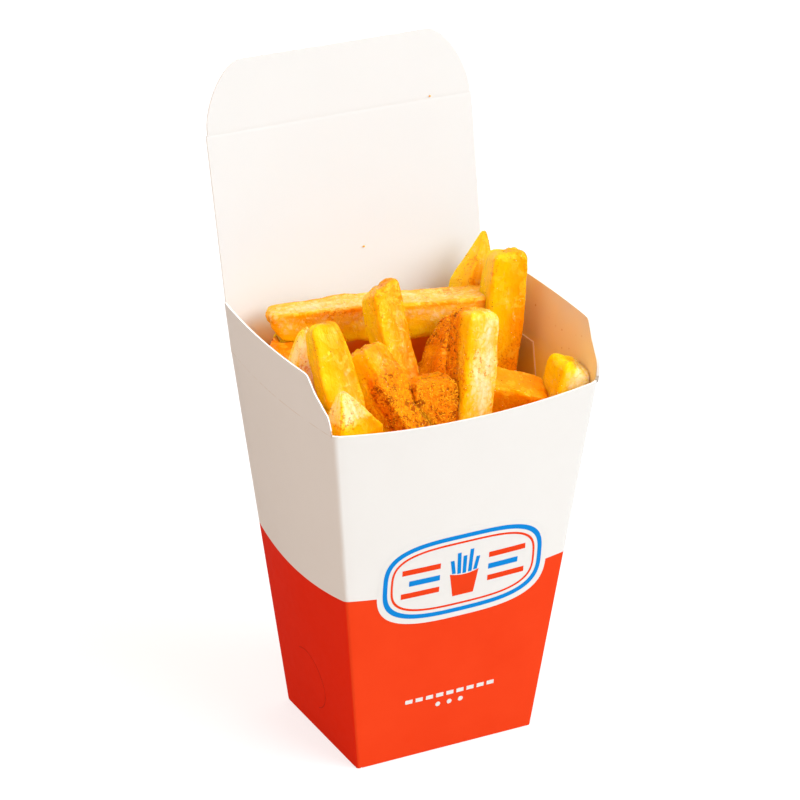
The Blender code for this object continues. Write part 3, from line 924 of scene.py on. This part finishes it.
def fry(row, seed, rings, sides, corner_steps):
    """A fry's points, faces, marks and the places within it, in mm, that its grain follows."""
    base, tip, width, thickness, turn, base_size, tip_size, slant, bow, pale, crust = row
    base, tip = Vector(base), Vector(tip)
    across, through, along = fry_frame(base, tip, turn)
    wide, thick, length = width / 2, thickness / 2, (tip - base).length
    section = fry_section(sides, corner_steps, 0.19)
    # Painted light: faces towards the key light are paler, and faces turned from it get a painted glow.
    light = Vector((0.62, -0.25, 0.74))
    side_light, face_light = across.dot(light), through.dot(light)
    offset = Vector((seed * 13.7, seed * 7.1, seed * 3.3))
    ends = [(0.0, 0.48), (0.12, 0.66), (0.40, 0.80), (0.85, 0.90), (1.5, 0.96), (2.4, 1.0)]
    stations = list(ends)
    stations += [(2.4 + (length - 4.8) * n / rings, 1.0) for n in range(1, rings)]
    stations += [(length - h, e) for h, e in reversed(ends)]
    points, marks, grain = [], [], []
    for height, end_size in stations:
        share = height / length
        size = fry_size(share, base_size, tip_size)
        centre = base + along * height + through * bow * math.sin(math.pi * share)
        drift = noise.noise_vector(offset + along * height * 0.05) * 0.5
        near_end = math.exp(-min(height, length - height) / 1.6)
        turned = clamped((share - 0.58) / 0.30)
        crusted = crust[0] + (crust[1] - crust[0]) * turned * turned * (3 - 2 * turned)
        for flat, corner in section:
            a, b = flat
            sink = 1 - 0.035 * (1 - min(abs(a), abs(b)) ** 2) * (0.4 + 0.6 * math.sin(math.pi * share))
            reach = size * end_size * sink
            rough = noise.noise(offset + Vector((a * 1.3, b * 1.3, height * 0.11)))
            fine = noise.noise(offset * 2 + Vector((a * wide * 0.5, b * thick * 0.5, height * 0.2)))
            grit = noise.noise(offset * 3 + Vector((a * wide * 0.9, b * thick * 0.9, height * 0.8)))
            swollen = 1 + (0.06 * rough + 0.045 * fine + (0.018 + 0.03 * crusted) * grit)
            lift = slant * a * size * end_size * share**4
            lift += (noise.noise(offset + Vector((a * 2, b * 2, 5))) * 0.9) * near_end
            point = centre + drift
            sideways = across * a * wide * reach * swollen + through * b * thick * reach * swollen
            point += sideways + along * lift
            points.append(inside_walls(point))
            facing = (a * side_light + b * face_light) / max(abs(a), abs(b))
            paler = pale
            # Painted light: paler towards the key light, and the palest fries, lying in the flaps' shade, get
            # a further painted lift.
            if pale > 0:
                palest = 1.0 if pale < PALE_AND_LIT_FROM else 1.25
                paler = min(palest, pale * max(0.12, 0.5 + 0.85 * facing))
            if pale == GOLDEN_FOOT:
                paler = 1.15 * clamped((share - 0.69) / 0.08)
            browner = crusted
            # Real browning with painted shade: browner on the faces turned from the key light.
            if pale == BROWNED_AND_SHADED_BEHIND:
                browner += 1.1 * max(0.0, -facing)
            if crust[0] > CRUMBED:
                # Crumb covers the faces that lay on the pan; the far side stayed smooth.
                browner *= 0.5 + 0.5 * clamped((facing + 0.42) / 0.30)
            marks.append((max(corner, near_end), paler, browner, clamped(0.55 - 0.65 * facing)))
            grain.append(offset * 3 + Vector((a * wide, b * thick, height * 0.3)))
    count = len(section)
    faces = []
    for ring in range(len(stations) - 1):
        for i in range(count):
            j = (i + 1) % count
            low, high = ring * count, (ring + 1) * count
            faces.append((low + i, low + j, high + j, high + i))
    for start, backwards in ((0, True), ((len(stations) - 1) * count, False)):
        centre = sum((points[start + i] for i in range(count)), Vector()) / count
        points.append(centre)
        marks.append((0.5, min(1.0, pale), crust[1] if start else crust[0], 0.3))
        grain.append(offset * 3 + Vector((0, 0, start)))
        for i in range(count):
            j = (i + 1) % count
            face = (start + j, start + i, len(points) - 1)
            faces.append(face if backwards else face[::-1])
    return points, faces, marks, grain


def fries_mesh(name, rows, rings, sides, corner_steps):
    points, faces, marks, grain = [], [], [], []
    for seed, row in rows:
        new_points, new_faces, new_marks, new_grain = fry(row, seed, rings, sides, corner_steps)
        start = len(points)
        points += [point * MM for point in new_points]
        faces += [tuple(start + i for i in face) for face in new_faces]
        marks += new_marks
        grain += [tuple(place * MM) for place in new_grain]
    mesh = new_mesh(name, points, faces)
    layer = mesh.color_attributes.new("marks", "FLOAT_COLOR", "POINT")
    layer.data.foreach_set("color", np.array(marks, dtype=np.float32).ravel())
    layer = mesh.attributes.new("grain", "FLOAT_VECTOR", "POINT")
    layer.data.foreach_set("vector", np.array(grain, dtype=np.float32).ravel())
    smooth(mesh, 50)
    return mesh


def lower_rows(draw):
    rows = []
    for number in range(LOWER_COLUMNS * LOWER_ROWS):
        column, row = number % LOWER_COLUMNS, number // LOWER_COLUMNS
        x = -37 + 74 * (column + draw.uniform(0.25, 0.75)) / LOWER_COLUMNS
        y = -29 + 58 * (row + draw.uniform(0.25, 0.75)) / LOWER_ROWS
        depth = min(row / 3, 1.0)
        lowest, highest = [
            front + (back - front) * depth for front, back in zip(LOWER_TIP_FRONT, LOWER_TIP_BACK)
        ]
        z = draw.uniform(lowest, highest)
        length = draw.uniform(*LOWER_LENGTH)
        lean = [draw.uniform(-LOWER_LEAN, LOWER_LEAN) for _ in range(2)]
        base = (0.8 * x + lean[0], 0.8 * y + lean[1], z - length)
        sizes = draw.uniform(10, 12.5), draw.uniform(9.5, 11.5)
        turn, tip_size = draw.uniform(0, 90), draw.uniform(0.6, 0.95)
        looks = draw.uniform(0.0, 0.3), (0.2, draw.choice((0.1, 0.2, 0.4)))
        rows.append((100 + number, (base, (x, y, z), *sizes, turn, 0.9, tip_size, 0, 0, *looks)))
    return rows


def core_mesh():
    """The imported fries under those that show, as one uneven block."""
    columns, rows, top_rings = 96, 30, 14

    def ring_point(u, height, gap):
        entry = LOOP[int(round(u * len(LOOP))) % len(LOOP)]
        return loop_point(entry, height, BOARD + gap)

    points, faces = [], []
    for j in range(rows + 1):
        height = 1.6 + (CORE_TOP - 1.6) * j / rows
        points += [ring_point(i / columns, height, 1.6) for i in range(columns)]
    for step in range(1, top_rings):
        shrink = 1 - step / top_rings
        for i in range(columns):
            rim = points[rows * columns + i]
            bump = 2.5 * noise.noise(Vector((rim.x * shrink * 0.12, rim.y * shrink * 0.12, 3.0)))
            points.append(Vector((rim.x * shrink, rim.y * shrink, CORE_TOP + bump)))
    rings = rows + top_rings
    for j in range(rings - 1):
        for i in range(columns):
            n = (i + 1) % columns
            faces.append((j * columns + i, j * columns + n, (j + 1) * columns + n, (j + 1) * columns + i))
    faces.append(tuple(reversed(range(columns))))
    faces.append(tuple((rings - 1) * columns + i for i in range(columns)))
    mesh = new_mesh("fries_core", [point * MM for point in points], faces)
    layer = mesh.color_attributes.new("marks", "FLOAT_COLOR", "POINT")
    layer.data.foreach_set("color", np.tile([0.3, 0.0, 0.45, 0.3], len(points)).astype(np.float32))
    fix_normals(mesh)
    smooth(mesh, 50)
    return mesh


def scattered_grains(name, pieces, count, sizes, longest, draw, weight):
    """Small uneven grains, some of them long shreds, that lie half sunk in the fries' surface."""
    spots, weights = [], []
    for piece in pieces:
        colours = piece.data.color_attributes["marks"].data
        for vert in piece.data.vertices:
            if vert.co.z > 0.112 and vert.normal.z > -0.35:
                spots.append(vert)
                weights.append(weight(colours[vert.index].color, vert.normal))
    chosen = draw.choices(spots, weights, k=count)
    base = bmesh.new()
    bmesh.ops.create_icosphere(base, subdivisions=1, radius=1)
    shape = [v.co.copy() for v in base.verts]
    corners = [tuple(v.index for v in f.verts) for f in base.faces]
    base.free()
    points, faces = [], []
    for vert in chosen:
        size = draw.uniform(*sizes) * MM
        stretch = Vector((draw.uniform(0.8, longest), draw.uniform(0.7, 1.1), draw.uniform(0.5, 0.8)))
        turn = Matrix.Rotation(draw.uniform(0, math.tau), 3, "Z")
        spin = vert.normal.to_track_quat("Z", "Y").to_matrix() @ turn
        jitter = Vector([draw.uniform(-0.4, 0.4) for _ in range(3)]) * MM
        centre = vert.co + jitter - vert.normal * jitter.dot(vert.normal)
        start = len(points)
        for corner in shape:
            uneven = 1 + draw.uniform(-0.2, 0.2)
            local = Vector((corner.x * stretch.x, corner.y * stretch.y, corner.z * stretch.z)) * uneven
            points.append(centre + spin @ local * size)
        faces += [tuple(start + i for i in face) for face in corners]
    mesh = new_mesh(name, points, faces)
    mesh.shade_smooth()
    return mesh


def make_fries(potato, seasoning, crumbs, dark_crumbs, salt):
    # Without a seed, noise_vector would differ from run to run.
    noise.seed_set(1)
    draw = random.Random(11)
    rings, sides, corners = ((90, 10, 5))
    kinds = {"fries_golden": [], "fries_pale": [], "fries_crusty": []}
    for number, (name, row) in enumerate(SHOWN_FRIES.items()):
        kind = "fries_pale" if name in PALE else "fries_crusty" if name in CRUSTY else "fries_golden"
        kinds[kind].append((1 + number, row))
    pieces = {}
    for kind, rows in kinds.items():
        mesh = fries_mesh(kind, rows, rings, sides, corners)
        pieces[kind] = add_piece(kind, mesh, [potato], "carton")
    mesh = fries_mesh("fries_lower", lower_rows(draw), 24, 4, 3)
    pieces["lower"] = add_piece("fries_lower", mesh, [potato], "carton")
    pieces["core"] = add_piece("fries_core", core_mesh(), [potato], "carton")
    for piece in pieces.values():
        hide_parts("fries")

    def all_over(marks, normal):
        return 0.10 + marks[2] * 0.8 + marks[0] * 0.45 + max(normal.z, 0) * 0.2

    def on_crust(marks, normal):
        return max(0.0, marks[2] - 0.32) ** 1.2

    shown = [pieces[kind] for kind in kinds]
    for name, material, count, sizes, longest, weight in (
        ("seasoning", seasoning, 620, (0.08, 0.20), 1.8, all_over),
        ("fried_crumbs", crumbs, 3000, (0.08, 0.22), 4.0, on_crust),
        ("browned_crumbs", dark_crumbs, 1000, (0.08, 0.20), 4.0, on_crust),
        ("salt_grains", salt, 700, (0.06, 0.14), 1.6, lambda marks, normal: 1.0),
    ):
        grains = scattered_grains(name, shown, count, sizes, longest, draw, weight)
        add_piece(name, grains, [material], "carton")


def specks(name, spots, body, material, draw):
    """A few crumbs stuck to the board: each spot is a place in mm and a size."""
    bm = bmesh.new()
    for place, size in spots:
        made = bmesh.ops.create_icosphere(bm, subdivisions=1, radius=size * MM)
        for vert in made["verts"]:
            vert.co = Vector(place) * MM + vert.co * draw.uniform(0.7, 1.1)
    mesh = bpy.data.meshes.new(name)
    bm.to_mesh(mesh)
    bm.free()
    mesh.shade_smooth()
    add_piece(name, mesh, [material], body)


# Floor, light and camera


def make_stage():
    nodes = Surface("floor", 0.9)
    place = nodes.place()
    nodes.colour(nodes.mix(nodes.noise(place, 3.0, 2.0), (0.33, 0.335, 0.34), (0.345, 0.35, 0.355)))
    # A lit table: its own glow keeps the shadow faint, and what it sends up is dimmer and warm.
    seen = nodes.add("ShaderNodeLightPath").outputs["Is Camera Ray"]
    glow = nodes.mix(seen, (0.66, 0.46, 0.30), (1.2, 1.2, 1.2))
    nodes.set({"Emission Color": glow, "Emission Strength": 0.55})
    bm = bmesh.new()
    bmesh.ops.create_grid(bm, x_segments=8, y_segments=8, size=6.0)
    mesh = bpy.data.meshes.new("floor")
    bm.to_mesh(mesh)
    bm.free()
    floor = bpy.data.objects.new("floor", mesh)
    mesh.materials.append(nodes.material)
    floor.location.z = -0.0001
    floor.visible_glossy = False
    bpy.context.scene.collection.objects.link(floor)


FILL_COLOUR, FILL_STRENGTH = (1.0, 0.80, 0.68), 0.84
# Each sun: where it stands, its colour, its strength and how wide it is in degrees.
SUNS = {
    "key": ((0.50, -0.64, 0.58), (0.72, 0.90, 1.0), 3.22, 50),
    "overhead": ((-0.15, 0.10, 0.98), (1.0, 0.98, 0.95), 1.24, 70),
    "sparkle": ((0.40, -0.55, 0.73), (1.0, 0.94, 0.80), 4.0, 10),
}


def make_light():
    """Warm fill all round, a bright backdrop that gloss picks up from behind and above, and a soft key."""
    world = bpy.data.worlds.new("studio")
    bpy.context.scene.world = world
    world.use_nodes = True
    nodes = Nodes(world.node_tree)

    def background(colour, strength):
        return nodes.add("ShaderNodeBackground", {"Color": colour, "Strength": strength}).outputs[0]

    def choose(share, first, second):
        return nodes.add("ShaderNodeMixShader", {0: share, 1: first, 2: second}).outputs[0]

    place = nodes.add("ShaderNodeTexCoord").outputs["Generated"]
    towards = {0: place, 1: (0.20, 0.70, 0.68)}
    behind = nodes.add("ShaderNodeVectorMath", towards, operation="DOT_PRODUCT").outputs["Value"]
    levels = {"Value": behind, "From Min": 0.1, "From Max": 0.9, "To Min": 0.02, "To Max": 0.60}
    rise = nodes.add("ShaderNodeMapRange", levels).outputs["Result"]
    path = nodes.add("ShaderNodeLightPath").outputs
    white = (1.0, 1.0, 1.0)
    lit = choose(path["Is Glossy Ray"], background(FILL_COLOUR, FILL_STRENGTH), background(white, rise))
    shown = choose(path["Is Camera Ray"], lit, background(white, 1.0))
    nodes.link(shown, nodes.tree.nodes["World Output"].inputs[0])
    for name, (towards, colour, strength, spread) in SUNS.items():
        sun = bpy.data.lights.new(name, "SUN")
        sun.energy = strength
        sun.angle = math.radians(spread)
        sun.color = colour
        lamp = bpy.data.objects.new(name, sun)
        lamp.rotation_mode = "QUATERNION"
        lamp.rotation_quaternion = Vector(towards).to_track_quat("Z", "Y")
        # Only the sparkle shows in gloss, and it adds nothing else.
        lamp.visible_glossy = name == "sparkle"
        lamp.visible_diffuse = lamp.visible_transmission = name != "sparkle"
        bpy.context.scene.collection.objects.link(lamp)


def make_camera():
    azimuth, elevation, roll = math.radians(-27.7), math.radians(24.9), math.radians(0.6)
    target, distance = Vector((-0.0042, 0, 0.1112)), 1.1
    level = Vector((math.sin(azimuth), -math.cos(azimuth), 0))
    back = level * math.cos(elevation) + Vector((0, 0, math.sin(elevation)))
    right = (-back).cross(Vector((0, 0, 1))).normalized()
    up = right.cross(-back)
    right, up = right * math.cos(roll) + up * math.sin(roll), up * math.cos(roll) - right * math.sin(roll)
    data = bpy.data.cameras.new("camera")
    data.sensor_width = 36.0
    data.lens = 3570 / 800 * 36.0
    data.clip_end = 20.0
    camera = bpy.data.objects.new("camera", data)
    turned = Matrix((right, up, back)).transposed().to_4x4()
    turned.translation = target + back * distance
    camera.matrix_world = turned
    bpy.context.scene.collection.objects.link(camera)
    bpy.context.scene.camera = camera


def main():
    printed = printed_board()
    inner = inner_board()
    outside = plain_board("outer_board", WHITE_INK, 0.5, scored=True)
    lid_inside = lid_board()
    cut = plain_board("cut_edge", (0.80, 0.79, 0.775), 0.7)
    make_body(printed, inner, cut)
    base_sheet("base_flap_front", -24.3, 9.0, 0.0, printed, inner, cut)
    base_sheet("base_flap_back", 9.2, 24.3, 0.62, printed, inner, cut)
    make_tab(inner, plain_board("oily_edge", (0.97, 0.68, 0.40), 0.7))
    for side in ("left", "right"):
        make_side_flap(side, outside, inner, cut)
    make_lid(outside, lid_inside, cut)
    make_tuck(outside, lid_inside, cut)
    make_print(ink("white_ink", WHITE_INK), ink("red_ink", RED_INK), ink("blue_ink", BLUE_INK))
    make_score_arc(ink("score_line", (0.53, 0.019, 0.006)))
    potato = fried_potato("fried_potato")
    seasoning = crumb_material("seasoning", (0.22, 0.035, 0.001), (0.60, 0.130, 0.003), 0.6)
    crumbs = crumb_material("fried_crumb", (0.98, 0.280, 0.001), (1.0, 0.560, 0.020), 0.35)
    dark_crumbs = crumb_material("browned_crumb", (0.26, 0.038, 0.0005), (0.62, 0.130, 0.001), 0.5)
    salt = crumb_material("salt", (1.0, 0.74, 0.24), (1.0, 0.90, 0.60), 0.35)
    make_fries(potato, seasoning, crumbs, dark_crumbs, salt)
    draw = random.Random(5)
    specks("lid_crumb", [(lid_point(3.7, 24.4, BOARD + 0.05), 0.35)], "lid", crumbs, draw)
    specks("tuck_crumb", [(lid_point(31.3, 68.0, BOARD + 0.05), 0.35)], "tuck", crumbs, draw)
    make_slit(ink("slit_shade", (0.55, 0.42, 0.32)))
    make_stage()
    make_light()
    make_camera()
    bpy.context.scene.view_settings.view_transform = "Standard"


main()
bpy.context.view_layer.update()
